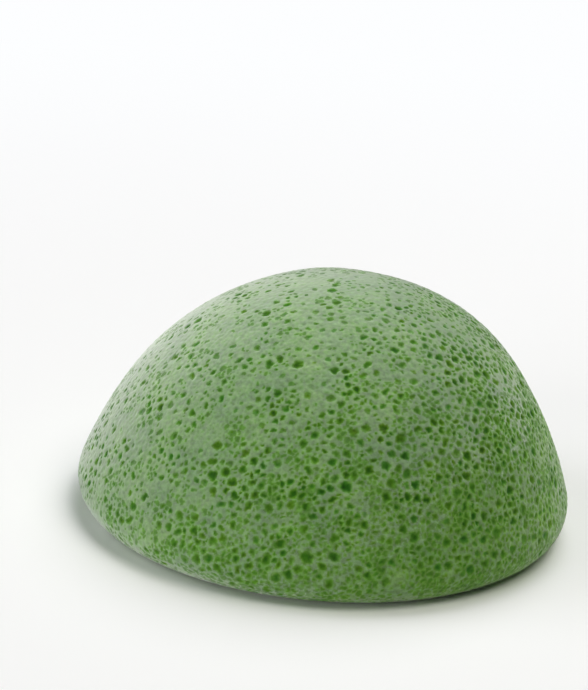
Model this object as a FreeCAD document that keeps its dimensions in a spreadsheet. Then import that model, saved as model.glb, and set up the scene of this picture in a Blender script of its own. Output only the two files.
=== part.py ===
# Half-ball face sponge of konjac foam, in millimetres, with +Z up.
# The foam is whisked, poured into a half-round mould, set and frozen in one go, so the
# whole sponge is a single block of open-cell foam with nothing joined to it.
# The origin is the centre of the flat base, which lies on z = 0.

import FreeCAD, Part
import Sketcher
import math
import os

# Driving dimensions: alias, value, what it measures.
SIZES = (
    ("diameter", 80.0, "across the bulge of the rim, the widest circle"),
    ("height", 40.0, "from the flat base to the top of the crown"),
    ("rim_radius", 5.0, "round edge that turns from the flank under to the base"),
    ("crown_span", 54.0, "degrees that the crown arc sweeps from the axis"),
    ("flank_span", 19.0, "degrees that the flatter flank arc sweeps below the crown"),
)
FULL_TURN = 360.0
QUARTER_TURN = 90.0

# How the sketcher numbers an element's points, and a sketch's own origin and upright axis.
START_INDEX, END_INDEX, CENTRE_INDEX = 1, 2, 3
ORIGIN_INDEX, UPRIGHT_INDEX = -1, -2


def make_sheet(document):
    """Puts the driving dimensions into a spreadsheet, one row each."""
    sheet = document.addObject("Spreadsheet::Sheet", "sizes")
    for row, (alias, value, meaning) in enumerate(SIZES, start=1):
        sheet.set(f"A{row}", alias)
        sheet.set(f"B{row}", str(value))
        sheet.set(f"C{row}", meaning)
        sheet.setAlias(f"B{row}", alias)
    document.recompute()
    return sheet


def origin_plane(body, role):
    """The body's own datum plane with that role, such as XZ_Plane."""
    return next(plane for plane in body.Origin.OriginFeatures if plane.Role == role)


def dome_arcs(sheet):
    """Centres, radii and start and end angles of the rim, flank and crown arcs.

    Each arc is tangent to the next. The rim is as wide as the diameter and stands on the
    base, and the crown is level on the axis at full height. Those two demands, sideways
    and upwards, leave the crown's and the flank's radii to be solved for.
    """
    rim_radius = sheet.rim_radius
    rim_x = sheet.diameter / 2 - rim_radius
    crown_end = math.radians(sheet.crown_span)
    flank_end = math.radians(sheet.crown_span + sheet.flank_span)

    crown_out, flank_out = math.sin(crown_end), math.sin(flank_end) - math.sin(crown_end)
    crown_down, flank_down = 1 - math.cos(crown_end), math.cos(crown_end) - math.cos(flank_end)
    out = rim_x + rim_radius * math.sin(flank_end)
    down = sheet.height - rim_radius - rim_radius * math.cos(flank_end)
    scale = crown_out * flank_down - flank_out * crown_down
    crown_radius = (out * flank_down - flank_out * down) / scale
    flank_radius = (crown_out * down - crown_down * out) / scale

    crown_z = sheet.height - crown_radius
    offset = crown_radius - flank_radius
    flank_centre = (offset * math.sin(crown_end), crown_z + offset * math.cos(crown_end))
    quarter = math.radians(QUARTER_TURN)
    return (
        ((rim_x, rim_radius), rim_radius, -quarter, quarter - flank_end),
        (flank_centre, flank_radius, quarter - flank_end, quarter - crown_end),
        ((0.0, crown_z), crown_radius, quarter - crown_end, quarter),
    )


def draw_profile(sketch, sheet):
    """Half of the sponge's section: base, rim, flank, crown, and back down the axis."""
    height = sheet.height
    arcs = dome_arcs(sheet)
    base_end = FreeCAD.Vector(arcs[0][0][0], 0, 0)
    foot, top = FreeCAD.Vector(0, 0, 0), FreeCAD.Vector(0, height, 0)
    up = FreeCAD.Vector(0, 0, 1)

    base = sketch.addGeometry(Part.LineSegment(foot, base_end))
    rim, flank, crown = (
        sketch.addGeometry(
            Part.ArcOfCircle(Part.Circle(FreeCAD.Vector(*centre, 0), up, radius), start, end)
        )
        for centre, radius, start, end in arcs
    )
    axis = sketch.addGeometry(Part.LineSegment(top, foot))

    for rule in (
        ("Coincident", base, START_INDEX, ORIGIN_INDEX, START_INDEX),
        ("Horizontal", base),
        ("Tangent", base, END_INDEX, rim, START_INDEX),
        ("Tangent", rim, END_INDEX, flank, START_INDEX),
        ("Tangent", flank, END_INDEX, crown, START_INDEX),
        ("PointOnObject", crown, CENTRE_INDEX, UPRIGHT_INDEX),
        ("Coincident", crown, END_INDEX, axis, START_INDEX),
        ("Coincident", axis, END_INDEX, ORIGIN_INDEX, START_INDEX),
        ("Vertical", axis),
    ):
        sketch.addConstraint(Sketcher.Constraint(*rule))

    for name, rule, formula in (
        ("rim_x", ("DistanceX", ORIGIN_INDEX, START_INDEX, rim, CENTRE_INDEX, base_end.x),
         "sizes.diameter / 2 - sizes.rim_radius"),
        ("rim_radius", ("Radius", rim, sheet.rim_radius), "sizes.rim_radius"),
        ("height", ("DistanceY", ORIGIN_INDEX, START_INDEX, crown, END_INDEX, height), "sizes.height"),
        ("crown_span", ("Angle", crown, math.radians(sheet.crown_span)), "sizes.crown_span"),
        ("flank_span", ("Angle", flank, math.radians(sheet.flank_span)), "sizes.flank_span"),
    ):
        sketch.renameConstraint(sketch.addConstraint(Sketcher.Constraint(*rule)), name)
        sketch.setExpression(f"Constraints.{name}", formula)


def make_sponge_body(document, sheet):
    """The sponge: its half section turned once round the Z axis."""
    body = document.addObject("PartDesign::Body", "sponge_body")
    body.Label = "sponge_body"
    section = body.newObject("Sketcher::SketchObject", "half_section")
    section.AttachmentSupport = (origin_plane(body, "XZ_Plane"), [""])
    section.MapMode = "FlatFace"
    draw_profile(section, sheet)
    document.recompute()

    dome = body.newObject("PartDesign::Revolution", "dome")
    dome.Profile = section
    dome.ReferenceAxis = (section, ["V_Axis"])
    dome.Angle = FULL_TURN
    body.Tip = dome
    document.recompute()
    return body


def check_document(document, pieces):
    """Stops the build if anything failed to compute or a piece isn't one sound solid."""
    for thing in document.Objects:
        if {"Invalid", "Error"} & set(thing.State):
            raise RuntimeError(f"{thing.Label} failed: {thing.State}")
    for piece in pieces:
        shape = piece.Shape
        if shape.isNull() or not shape.isValid() or len(shape.Solids) != 1:
            raise RuntimeError(f"{piece.Label} isn't one valid solid")


def write_parts(pieces):
    """Writes each piece to parts/ under its label."""
    os.makedirs("parts", exist_ok=True)
    for piece in pieces:
        piece.Shape.exportStep(os.path.join("parts", f"{piece.Label}.step"))
        box = piece.Shape.optimalBoundingBox()
        print(
            f"{piece.Label}: {box.XLength:.2f} x {box.YLength:.2f} x {box.ZLength:.2f} mm,"
            f" {piece.Shape.Volume / 1000:.2f} cm3"
        )


document = FreeCAD.newDocument("konjac_sponge")
sizes_sheet = make_sheet(document)
pieces = [make_sponge_body(document, sizes_sheet)]
check_document(document, pieces)
write_parts(pieces)
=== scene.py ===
import math

import bmesh
import bpy
import numpy as np
from mathutils import Matrix, Vector, kdtree, noise


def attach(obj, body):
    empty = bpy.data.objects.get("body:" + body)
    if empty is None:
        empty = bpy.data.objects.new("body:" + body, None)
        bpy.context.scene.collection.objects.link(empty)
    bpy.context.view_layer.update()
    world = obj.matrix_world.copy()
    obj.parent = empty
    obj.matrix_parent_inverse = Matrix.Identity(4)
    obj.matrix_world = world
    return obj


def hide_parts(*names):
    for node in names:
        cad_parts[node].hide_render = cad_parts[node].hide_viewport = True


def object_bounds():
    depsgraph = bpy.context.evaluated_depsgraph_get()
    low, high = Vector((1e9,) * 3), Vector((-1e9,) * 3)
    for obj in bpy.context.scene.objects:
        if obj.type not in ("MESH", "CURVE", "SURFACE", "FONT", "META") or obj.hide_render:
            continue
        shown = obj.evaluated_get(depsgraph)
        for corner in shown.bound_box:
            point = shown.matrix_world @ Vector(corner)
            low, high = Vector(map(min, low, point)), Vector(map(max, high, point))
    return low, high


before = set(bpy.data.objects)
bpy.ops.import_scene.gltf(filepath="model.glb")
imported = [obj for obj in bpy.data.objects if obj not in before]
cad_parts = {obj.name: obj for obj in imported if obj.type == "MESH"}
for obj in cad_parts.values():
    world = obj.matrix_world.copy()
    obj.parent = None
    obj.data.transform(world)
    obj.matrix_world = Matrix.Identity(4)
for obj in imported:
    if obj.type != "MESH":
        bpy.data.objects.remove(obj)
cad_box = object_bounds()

scene = bpy.context.scene
MM = 0.001

# Viewpoint: the sponge is seen from a little above its front, a bit off the middle of the
# picture, with the picture leaning to the right. A long lens stands half a metre away.
VIEW_DISTANCE = 500 * MM
VIEW_ELEVATION = math.radians(20.64)
VIEW_LEAN = math.radians(4.76)
AIM_LEFT, AIM_ABOVE = 5.83 * MM, 8.28 * MM
LENS_MM, SENSOR_MM = 161.2, 36.0

middle = (cad_box[0] + cad_box[1]) / 2
ahead = Vector((0, math.cos(VIEW_ELEVATION), -math.sin(VIEW_ELEVATION)))
level_right, level_up = Vector((1, 0, 0)), Vector((0, math.sin(VIEW_ELEVATION), math.cos(VIEW_ELEVATION)))
right = level_right * math.cos(VIEW_LEAN) + level_up * math.sin(VIEW_LEAN)
up = level_up * math.cos(VIEW_LEAN) - level_right * math.sin(VIEW_LEAN)
stand = middle - ahead * VIEW_DISTANCE
gaze = (middle - right * AIM_LEFT + up * AIM_ABOVE - stand).normalized()
right = gaze.cross(up).normalized()
up = right.cross(gaze)

camera_data = bpy.data.cameras.new("viewpoint")
camera_data.lens = LENS_MM
camera_data.sensor_width = SENSOR_MM
camera = bpy.data.objects.new("viewpoint", camera_data)
camera.matrix_world = Matrix.Translation(stand) @ Matrix((right, up, -gaze)).transposed().to_4x4()
scene.collection.objects.link(camera)
scene.camera = camera


# Sponge: one half ball of konjac foam, whisked, cast in a round mould, set, frozen and thawed,
# and kept damp. The mould's skin is thin, so the cells under it show as open pores of many
# sizes with pale walls between them.
SPONGE_NODE = "sponge_body"
# Skin: spacing of its points, how it is smoothed, and how far it leans, swells and roughens.
WELD_GAP = 0.001 * MM
SKIN_STEP = 0.2 * MM
SMOOTHING_SHARE, SMOOTHING_ROUNDS, ROUNDING_ROUNDS = 0.5, 20, 3
CROWN_LEAN = 1.9 * MM
LUMP_HEIGHT, LUMP_WIDTH = 0.35 * MM, 16 * MM
GRAIN_HEIGHT, GRAIN_WIDTH, GRAIN_FOOT = 0.07 * MM, 0.6 * MM, 0.002
# Bubbles that burst at the mould's wall and left wider holes: place and radius in millimetres,
# and how far they are open to the outside.
BURST_BUBBLES = (
    ((3.1, -34.5, 18.5), 1.25, 1.0),
    ((-1.6, -39.0, 8.6), 1.50, 0.75),
    ((2.4, -39.0, 8.8), 1.20, 0.85),
    ((14.6, -35.1, 11.5), 1.15, 0.85),
    ((6.2, -32.6, 20.8), 0.95, 0.95),
    ((11.6, -29.9, 22.6), 0.95, 0.95),
    ((-6.8, -21.2, 32.9), 1.00, 0.85),
    ((-1.0, -22.6, 32.6), 0.90, 0.85),
)
# Kinds of foam cell, largest first: tries, least and greatest radius, and how far they are open
# on average and at least.
CELL_KINDS = (
    (7000, 0.60 * MM, 1.00 * MM, 0.62, 0.36),
    (20000, 0.40 * MM, 0.60 * MM, 0.50, 0.20),
    (90000, 0.25 * MM, 0.40 * MM, 0.26, 0.0),
)
BURST_SLIM, CELL_SLIM, CELL_WALL, CELL_REACH, CELL_SEED = 0.85, 0.66, 0.06 * MM, 3.2, 11
PORE_WARP, WARP_WIDTH = 0.36 * MM, 0.85 * MM
# Openness: its spread, its swing from patch to patch, and the mould's closed skin near the foot.
OPEN_SPREAD, OPEN_PATCHES, PATCH_WIDTH = 0.19, 0.70, 5.0 * MM
SKIN_LEAST, SKIN_HEIGHT = 0.15, 12 * MM
PATCH_TONE, MOTTLE_TONE, MOTTLE_WIDTH = 0.20, 0.22, 1.3 * MM
# Towards the upper left, where the lamps light it most, the foam has closed up and dried and is paler.
# Towards the lower right it is damp and takes the gel with less sheen and less blue, so it is darker and
# greener. This is partly the foam's own drying and partly painted light and shade.
DRY_AND_LIT_SIDE = np.array((-0.58, 0.06, 0.81))
DRY_AND_LIT_FROM, DRY_AND_LIT_TO, DRY_AND_LIT_CLOSE = -0.05, 0.50, 0.44
DAMP_AND_SHADED_FROM, DAMP_AND_SHADED_TO, DAMP_AND_SHADED_VEIL = -0.75, 0.25, 0.46
BLOOM_LIMITS = (0.34, 0.56)
# Form of a cell: strands between cells, a thin membrane dipping between them, and a mouth in it.
STRAND_HALF, STRAND_SWING, STRAND_WIDTH = 0.04 * MM, 0.08 * MM, 2.5 * MM
MEMBRANE_SHARE, MEMBRANE_DIP, MEMBRANE_OPEN = 0.7, 0.06, 0.25
MOUTH_LEAST, MOUTH_GAIN, MOUTH_SOFT, MOUTH_DEPTH = 0.84, 0.25, 0.95, 0.28
# The noise is seeded, so that each run grows the same foam.
noise.seed_set(CELL_SEED)


def cast_skin(node):
    """An even, smooth mesh of the mould's shape, with points about SKIN_STEP apart."""
    blank = bmesh.new()
    blank.from_mesh(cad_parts[node].data)
    bmesh.ops.remove_doubles(blank, verts=blank.verts, dist=WELD_GAP)
    mesh = bpy.data.meshes.new("sponge")
    blank.to_mesh(mesh)
    blank.free()
    piece = bpy.data.objects.new("sponge", mesh)
    scene.collection.objects.link(piece)
    even = piece.modifiers.new("even", "REMESH")
    even.mode = "VOXEL"
    even.voxel_size = SKIN_STEP
    soften = piece.modifiers.new("soften", "SMOOTH")
    soften.factor = SMOOTHING_SHARE
    soften.iterations = SMOOTHING_ROUNDS
    cast = piece.evaluated_get(bpy.context.evaluated_depsgraph_get())
    piece.data = bpy.data.meshes.new_from_object(cast)
    piece.modifiers.clear()
    piece.data.name = "sponge"
    return piece


def read_points(mesh, what):
    """The places or normals of a mesh's points, one row each."""
    values = np.empty(len(mesh.vertices) * 3, np.float32)
    mesh.vertices.foreach_get(what, values)
    return values.reshape(-1, 3)


def wander(points, width):
    """Smooth random vectors, about one long at most, that change over that width."""
    return np.array([noise.noise_vector(p) for p in (points / width).tolist()], np.float32)


def smooth_step(share):
    """A share from 0 to 1 that starts and ends gently."""
    share = np.clip(share, 0, 1)
    return share * share * (3 - 2 * share)


def scatter(chance, node, count):
    """That many random places, spread evenly over a CAD piece's surface."""
    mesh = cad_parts[node].data
    mesh.calc_loop_triangles()
    corners = np.array([[mesh.vertices[v].co for v in face.vertices] for face in mesh.loop_triangles])
    first, second, third = corners[:, 0], corners[:, 1], corners[:, 2]
    areas = np.linalg.norm(np.cross(second - first, third - first), axis=1)
    face = chance.choice(len(areas), count, p=areas / areas.sum())
    along, across = np.sqrt(chance.random(count))[:, None], chance.random(count)[:, None]
    return first[face] * (1 - along) + second[face] * along * (1 - across) + third[face] * along * across


def dry_and_lit_share(points, wet_and_shaded_until, dry_and_lit_from):
    """How far each place lies towards the dry, lit upper left: 0 low at the right, 1 at the upper left."""
    foam_middle = np.array(cad_box[0] + cad_box[1]) / 2
    lean_out = (points - foam_middle) @ DRY_AND_LIT_SIDE / foam_middle[2] / 2
    return np.clip((lean_out - wet_and_shaded_until) / (dry_and_lit_from - wet_and_shaded_until), 0, 1)


def warp(points):
    """The places moved about a little, so that cells drawn round in that space are lopsided."""
    return points + PORE_WARP * wander(points, WARP_WIDTH) + PORE_WARP / 2 * wander(points, WARP_WIDTH / 2)


def search_tree(points):
    """A tree that finds the points near a place."""
    tree = kdtree.KDTree(len(points))
    for index, place in enumerate(points.tolist()):
        tree.insert(place, index)
    tree.balance()
    return tree


def foam_cells(chance):
    """Each cell's place, radius, how far it is open, slimness and lie, in the order they might form."""
    for place, radius, opened in BURST_BUBBLES:
        yield np.array(place) * MM, radius * MM, opened, BURST_SLIM, chance.normal(size=3)
    for tries, least, most, open_mean, open_least in CELL_KINDS:
        places = scatter(chance, SPONGE_NODE, tries)
        sizes = chance.uniform(least, most, tries)
        swings = chance.normal(open_mean, OPEN_SPREAD, tries)
        slims = chance.uniform(CELL_SLIM, 1.0, tries)
        lies = chance.normal(size=(tries, 3))
        swings -= DRY_AND_LIT_CLOSE * dry_and_lit_share(places, DRY_AND_LIT_FROM, DRY_AND_LIT_TO)
        skins = np.clip(SKIN_LEAST + (1 - SKIN_LEAST) * places[:, 2] / SKIN_HEIGHT, SKIN_LEAST, 1)
        for place, radius, swing, skin, slim, lie in zip(places, sizes, swings, skins, slims, lies):
            patch = OPEN_PATCHES * noise.noise(place / PATCH_WIDTH)
            opened = min(max((swing + patch) * skin, 0), 1)
            if opened >= open_least:
                yield place, radius, opened, slim, lie


def edge_gap(places, centre, radius, slim, lie):
    """How far each place is outside a slim cell's edge, or inside it when negative."""
    away = places - centre
    along = (away * lie).sum(1) / np.linalg.norm(lie)
    return np.sqrt((away**2).sum(1) + (1 / slim**2 - 1) * along**2) - radius


def settle_cells(chance):
    """The cells that found room between those that formed before them."""
    places, radii, opened, slims, lies = (np.array(column) for column in zip(*foam_cells(chance)))
    centres = warp(places)
    tree = search_tree(centres)
    room = np.full(len(centres), True)
    for cell, (centre, radius, slim, lie) in enumerate(zip(centres, radii, slims, lies)):
        if room[cell]:
            reach = radius + radii.max() + CELL_WALL
            later = np.array([hit[1] for hit in tree.find_range(centre, reach) if hit[1] > cell], np.int32)
            crowded = edge_gap(centres[later], centre, radius, slim, lie) < radii[later] + CELL_WALL
            room[later[crowded]] = False
    return centres[room], radii[room], opened[room], slims[room], lies[room]


def grow_cells(points):
    """How far the foam is open at each point, from 0 on a strand to 1, how deep, and how warm in tone."""
    chance = np.random.default_rng(CELL_SEED)
    centres, radii, openness, slims, lies = settle_cells(chance)
    warped = warp(points)
    tree = search_tree(warped)
    nearest = np.full(len(points), 1.0, np.float32)
    second = np.full(len(points), 1.0, np.float32)
    owner = np.zeros(len(points), np.int32)
    for cell, (centre, radius, slim, lie) in enumerate(zip(centres, radii, slims, lies)):
        near = np.array([hit[1] for hit in tree.find_range(centre, CELL_REACH * radius)], np.int32)
        edge = edge_gap(warped[near], centre, radius, slim, lie)
        closer = edge < nearest[near]
        second[near] = np.where(closer, nearest[near], np.minimum(second[near], edge))
        owner[near] = np.where(closer, cell, owner[near])
        nearest[near] = np.minimum(nearest[near], edge)
    radius, opened = radii[owner], openness[owner]
    strand = STRAND_HALF + STRAND_SWING * wander(points, STRAND_WIDTH)[:, 0]
    membrane = smooth_step(((second - nearest) / 2 - strand) / (MEMBRANE_SHARE * radius))
    mouth = MOUTH_LEAST + MOUTH_GAIN * opened
    hole = smooth_step((mouth - 1 - nearest / radius) / MOUTH_SOFT) * opened
    depth = membrane * MEMBRANE_DIP * radius + hole * MOUTH_DEPTH * radius
    tone = PATCH_TONE * wander(points, PATCH_WIDTH)[:, 1] + MOTTLE_TONE * wander(points, MOTTLE_WIDTH)[:, 0]
    warm = chance.uniform(-1, 1, len(radii))[owner] * smooth_step(2 * hole)
    return np.clip(MEMBRANE_OPEN * membrane + (1 - MEMBRANE_OPEN) * hole + tone, 0, 1), depth, warm


def lay_flat(mesh, points):
    """Unwraps the sponge to two discs: the dome from its crown out, and the base."""
    dome_disc, base_disc = (0.45, 0.45, 0.43), (0.855, 0.855, 0.13)
    flat_radius, eye_height, base_height = 35 * MM, 5 * MM, 0.02 * MM
    corner_point = np.empty(len(mesh.loops), np.int32)
    mesh.loops.foreach_get("vertex_index", corner_point)
    corners_per_face = np.empty(len(mesh.polygons), np.int32)
    mesh.polygons.foreach_get("loop_total", corners_per_face)
    face_of_corner = np.repeat(np.arange(len(mesh.polygons)), corners_per_face)
    height = np.zeros(len(mesh.polygons))
    np.add.at(height, face_of_corner, points[corner_point, 2])
    on_base = (height / corners_per_face < base_height)[face_of_corner]
    x, y, z = points[corner_point].T
    out = np.hypot(x, y)
    turn = np.arctan2(y, x)
    fall = np.arctan2(out, z - eye_height)
    fall_edge = math.atan2(flat_radius, -eye_height)
    reach = np.where(on_base, base_disc[2] * out / flat_radius, dome_disc[2] * fall / fall_edge)
    centre_u = np.where(on_base, base_disc[0], dome_disc[0])
    centre_v = np.where(on_base, base_disc[1], dome_disc[1])
    across = np.where(on_base, -1, 1)
    flat = np.stack([centre_u + across * reach * np.cos(turn), centre_v + reach * np.sin(turn)], 1)
    layer = mesh.uv_layers.new(name="OFBake")
    layer.data.foreach_set("uv", flat.astype(np.float32).ravel())


sponge = cast_skin(SPONGE_NODE)
foam = sponge.data
skin_points = read_points(foam, "co")
skin_normals = read_points(foam, "normal")
lay_flat(foam, skin_points)
pore_open, pore_depth, pore_warm = grow_cells(skin_points)
height_share = np.clip(skin_points[:, 2] / cad_box[1].z, 0, 1)
formed = skin_points - skin_normals * pore_depth[:, None]
formed += GRAIN_HEIGHT * wander(skin_points, GRAIN_WIDTH) * (height_share[:, None] > GRAIN_FOOT)
formed += LUMP_HEIGHT * wander(skin_points, LUMP_WIDTH) * height_share[:, None]
formed[:, 0] += CROWN_LEAN * height_share**2
foam.vertices.foreach_set("co", formed.ravel())
rounding = sponge.modifiers.new("rounding", "SMOOTH")
rounding.factor = SMOOTHING_SHARE
rounding.iterations = ROUNDING_ROUNDS
foam.attributes.new("pore_open", "FLOAT", "POINT").data.foreach_set("value", pore_open)
foam.attributes.new("pore_warm", "FLOAT", "POINT").data.foreach_set("value", pore_warm)
foam.shade_smooth()
foam.update()


def konjac_gel(name, bloom, bloom_spread, soak_and_shade):
    """Konjac gel: pale grey-green walls and a darker, clearer green in the pores, partly the wet gel's own
    colour and partly painted shade.

    Bloom and its spread are the sheen of dry foam, and soak_and_shade is the blue taken out of the gel's
    tint in the pores and towards the lower right, partly by water and partly as painted shade.
    """
    material = bpy.data.materials.new(name)
    material.use_nodes = True
    nodes, links = material.node_tree.nodes, material.node_tree.links
    gel = nodes["Principled BSDF"]
    place = nodes.new("ShaderNodeTexCoord").outputs["Object"]

    def pore_value(attribute):
        reader = nodes.new("ShaderNodeAttribute")
        reader.attribute_name = attribute
        return reader.outputs["Fac"]

    def cloud(scale, detail, roughness):
        texture = nodes.new("ShaderNodeTexNoise")
        texture.inputs["Scale"].default_value = scale
        texture.inputs["Detail"].default_value = detail
        texture.inputs["Roughness"].default_value = roughness
        links.new(place, texture.inputs["Vector"])
        return texture.outputs["Fac"]

    def rescaled(value, from_least, from_most, least, most):
        scaler = nodes.new("ShaderNodeMapRange")
        scaler.inputs["From Min"].default_value = from_least
        scaler.inputs["From Max"].default_value = from_most
        scaler.inputs["To Min"].default_value = least
        scaler.inputs["To Max"].default_value = most
        links.new(value, scaler.inputs["Value"])
        return scaler.outputs["Result"]

    def coloured(value, *stops):
        ramp = nodes.new("ShaderNodeValToRGB")
        ends = ramp.color_ramp.elements
        for end, (position, colour) in ((ends[0], stops[0]), (ends[1], stops[-1])):
            end.position = position
            end.color = (*colour, 1)
        for position, colour in stops[1:-1]:
            ends.new(position).color = (*colour, 1)
        links.new(value, ramp.inputs["Fac"])
        return ramp.outputs["Color"]

    def multiplied(first, second):
        mix = nodes.new("ShaderNodeMix")
        mix.data_type = "RGBA"
        mix.blend_type = "MULTIPLY"
        mix.inputs["Factor"].default_value = 1.0
        links.new(first, mix.inputs["A"])
        links.new(second, mix.inputs["B"])
        return mix.outputs["Result"]

    # Colour by openness: pale on the strands, darker and clearer green down the membranes and into the
    # pores. This is partly the gel's own deeper green and partly painted shade in the recesses.
    green = coloured(
        pore_value("pore_open"),
        (0.0, (0.186, 0.334, 0.122)),
        (0.16, (0.150, 0.318, 0.072)),
        (0.32, (0.104, 0.264, 0.037)),
        (0.60, (0.056, 0.182, 0.012)),
        (1.0, (0.022, 0.110, 0.004)),
    )
    hue = coloured(
        rescaled(pore_value("pore_warm"), from_least=-1, from_most=1, least=0, most=1),
        (0.0, (0.75, 0.97, 1.30)),
        (0.5, (1, 1, 1)),
        (1.0, (1.28, 1.04, 0.65)),
    )
    tint = coloured(
        cloud(scale=190, detail=4, roughness=0.6),
        (0.3, (0.82, 0.86, 0.90 - soak_and_shade)),
        (0.7, (1.15, 1.13, 0.98 - soak_and_shade)),
    )
    grain = cloud(scale=1300, detail=3, roughness=0.65)
    flecks = rescaled(grain, from_least=0.3, from_most=0.7, least=0.70, most=1.32)
    skin_colour = multiplied(multiplied(multiplied(green, hue), tint), flecks)
    links.new(skin_colour, gel.inputs["Base Color"])
    links.new(rescaled(grain, from_least=0, from_most=1, least=0.5, most=0.8), gel.inputs["Roughness"])

    relief = nodes.new("ShaderNodeBump")
    relief.inputs["Strength"].default_value = 0.35
    relief.inputs["Distance"].default_value = 0.1 * MM
    links.new(grain, relief.inputs["Height"])
    links.new(relief.outputs["Normal"], gel.inputs["Normal"])

    gel.inputs["Subsurface Weight"].default_value = 0.8
    gel.inputs["Subsurface Radius"].default_value = (0.6, 0.9, 0.35)
    gel.inputs["Subsurface Scale"].default_value = 1 * MM
    gel.inputs["Specular IOR Level"].default_value = 0.08
    gel.inputs["Sheen Weight"].default_value = bloom
    gel.inputs["Sheen Roughness"].default_value = bloom_spread
    return material


# The rims and linings are copies of the wall gel with less sheen and less blue; in the pores this is partly
# the wet gel's own look and partly painted shade.
foam.materials.clear()
foam.materials.append(konjac_gel("foam_walls", bloom=1.0, bloom_spread=0.6, soak_and_shade=0.0))
foam.materials.append(konjac_gel("foam_rims", bloom=0.5, bloom_spread=0.5, soak_and_shade=0.1))
foam.materials.append(konjac_gel("foam_linings", bloom=0.4, bloom_spread=0.3, soak_and_shade=0.2))
face_points = np.empty(len(foam.loops), np.int32)
foam.loops.foreach_get("vertex_index", face_points)
face_starts = np.empty(len(foam.polygons), np.int32)
foam.polygons.foreach_get("loop_start", face_starts)
# Faces in the pores and towards the lower right take the rims and linings, with less sheen and less blue:
# partly damp gel and partly painted shade on the pores and the lower right.
wet_and_shaded = pore_open + DAMP_AND_SHADED_VEIL * (1 - dry_and_lit_share(skin_points, DAMP_AND_SHADED_FROM, DAMP_AND_SHADED_TO))
face_wet_and_shaded = np.maximum.reduceat(wet_and_shaded[face_points], face_starts)
foam.polygons.foreach_set("material_index", np.digitize(face_wet_and_shaded, BLOOM_LIMITS).astype(np.int32))
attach(sponge, "root")
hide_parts(SPONGE_NODE)


# Table top: a plain sheet of white painted board that the sponge stands on and that keeps its
# soft shadow. Away from the sponge it passes into a plain white backdrop.
FLOOR_RADIUS = 4.0
FLOOR_WHITE, FLOOR_SHADE = 0.98, 0.80
SHADOW_NEAR, SHADOW_FAR = 0.10, 0.30


def seen_level(tree, hidden, seen):
    """A level that is one number for what the camera, gloss and glass see, and another for light."""
    ray = tree.nodes.new("ShaderNodeLightPath")
    level = tree.nodes.new("ShaderNodeMath")
    level.operation = "MAXIMUM"
    tree.links.new(ray.outputs["Is Camera Ray"], level.inputs[0])
    tree.links.new(ray.outputs["Is Glossy Ray"], level.inputs[1])
    either = tree.nodes.new("ShaderNodeMath")
    either.operation = "MAXIMUM"
    tree.links.new(level.outputs["Value"], either.inputs[0])
    tree.links.new(ray.outputs["Is Transmission Ray"], either.inputs[1])
    share = tree.nodes.new("ShaderNodeMapRange")
    share.inputs["To Min"].default_value = hidden
    share.inputs["To Max"].default_value = seen
    tree.links.new(either.outputs["Value"], share.inputs["Value"])
    return share.outputs["Result"]


table = bmesh.new()
bmesh.ops.create_circle(table, cap_ends=True, segments=96, radius=FLOOR_RADIUS)
table_mesh = bpy.data.meshes.new("table_top")
table.to_mesh(table_mesh)
table.free()
table_top = bpy.data.objects.new("table_top", table_mesh)
scene.collection.objects.link(table_top)
white_paint = bpy.data.materials.new("white_paint")
white_paint.use_nodes = True
paint_nodes, paint_links = white_paint.node_tree.nodes, white_paint.node_tree.links
paint = paint_nodes["Principled BSDF"]
paint_level = seen_level(white_paint.node_tree, hidden=FLOOR_SHADE, seen=FLOOR_WHITE)
paint_links.new(paint_level, paint.inputs["Base Color"])
paint.inputs["Roughness"].default_value = 0.9
paint.inputs["Specular IOR Level"].default_value = 0.1
spot = paint_nodes.new("ShaderNodeTexCoord")
reach = paint_nodes.new("ShaderNodeVectorMath")
reach.operation = "LENGTH"
paint_links.new(spot.outputs["Object"], reach.inputs[0])
fade = paint_nodes.new("ShaderNodeMapRange")
fade.interpolation_type = "SMOOTHSTEP"
fade.inputs["From Min"].default_value = SHADOW_NEAR
fade.inputs["From Max"].default_value = SHADOW_FAR
paint_links.new(reach.outputs["Value"], fade.inputs["Value"])
backdrop = paint_nodes.new("ShaderNodeEmission")
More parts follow.
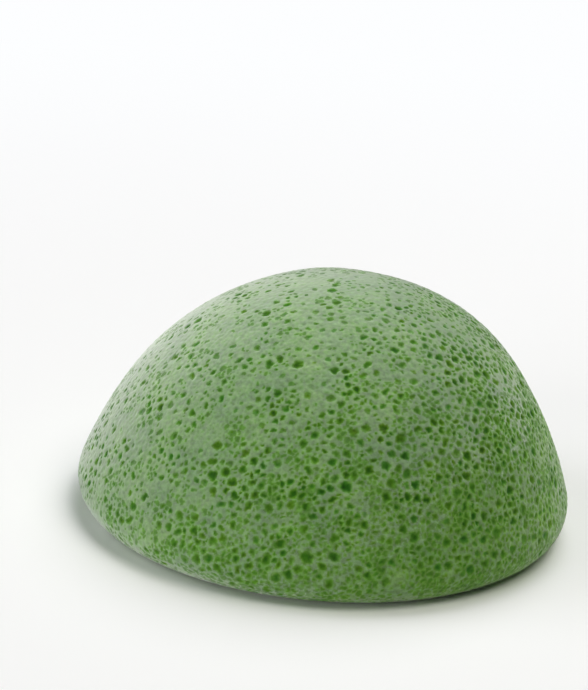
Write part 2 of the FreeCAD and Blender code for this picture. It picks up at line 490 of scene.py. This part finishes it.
backdrop_level = seen_level(white_paint.node_tree, hidden=0.0, seen=1.0)
paint_links.new(backdrop_level, backdrop.inputs["Strength"])
backdrop.inputs["Color"].default_value = (0.98, 0.99, 1.0, 1)
sheet = paint_nodes.new("ShaderNodeMixShader")
paint_links.new(fade.outputs["Result"], sheet.inputs["Fac"])
paint_links.new(paint.outputs["BSDF"], sheet.inputs[1])
paint_links.new(backdrop.outputs["Emission"], sheet.inputs[2])
paint_links.new(sheet.outputs["Shader"], paint_nodes["Material Output"].inputs["Surface"])
table_mesh.materials.append(white_paint)


# Studio light: round fabric softboxes a metre away, a wide one above and behind, one at the left
# side, a low one at the left front and one at the right front, with dim white walls all round.
def softbox(name, turn, rise, size, watts, colour):
    """A round soft lamp one metre from the sponge. Turn is counted from the front to the left."""
    turn, rise = math.radians(turn), math.radians(rise)
    away = Vector((-math.sin(turn) * math.cos(rise), -math.cos(turn) * math.cos(rise), math.sin(rise)))
    light = bpy.data.lights.new(name, "AREA")
    light.shape = "DISK"
    light.size = size
    light.energy = watts
    light.color = colour
    lamp = bpy.data.objects.new(name, light)
    lamp.location = middle + away
    lamp.rotation_euler = (-away).to_track_quat("-Z", "Y").to_euler()
    scene.collection.objects.link(lamp)


softbox("back_softbox", turn=200, rise=60, size=0.8, watts=5.9, colour=(0.97, 0.97, 1.0))
softbox("side_softbox", turn=90, rise=35, size=0.6, watts=2.5, colour=(0.94, 0.95, 1.0))
softbox("left_softbox", turn=50, rise=10, size=0.6, watts=3.9, colour=(1.0, 0.99, 0.98))
softbox("right_softbox", turn=-60, rise=64, size=0.6, watts=3.8, colour=(1.0, 0.99, 0.90))

walls = bpy.data.worlds.new("white_walls")
walls.use_nodes = True
glow = walls.node_tree.nodes["Background"]
glow.inputs["Color"].default_value = (0.98, 0.99, 1.0, 1)
wall_level = seen_level(walls.node_tree, hidden=0.03, seen=1.0)
walls.node_tree.links.new(wall_level, glow.inputs["Strength"])
scene.world = walls
scene.view_settings.view_transform = "Standard"
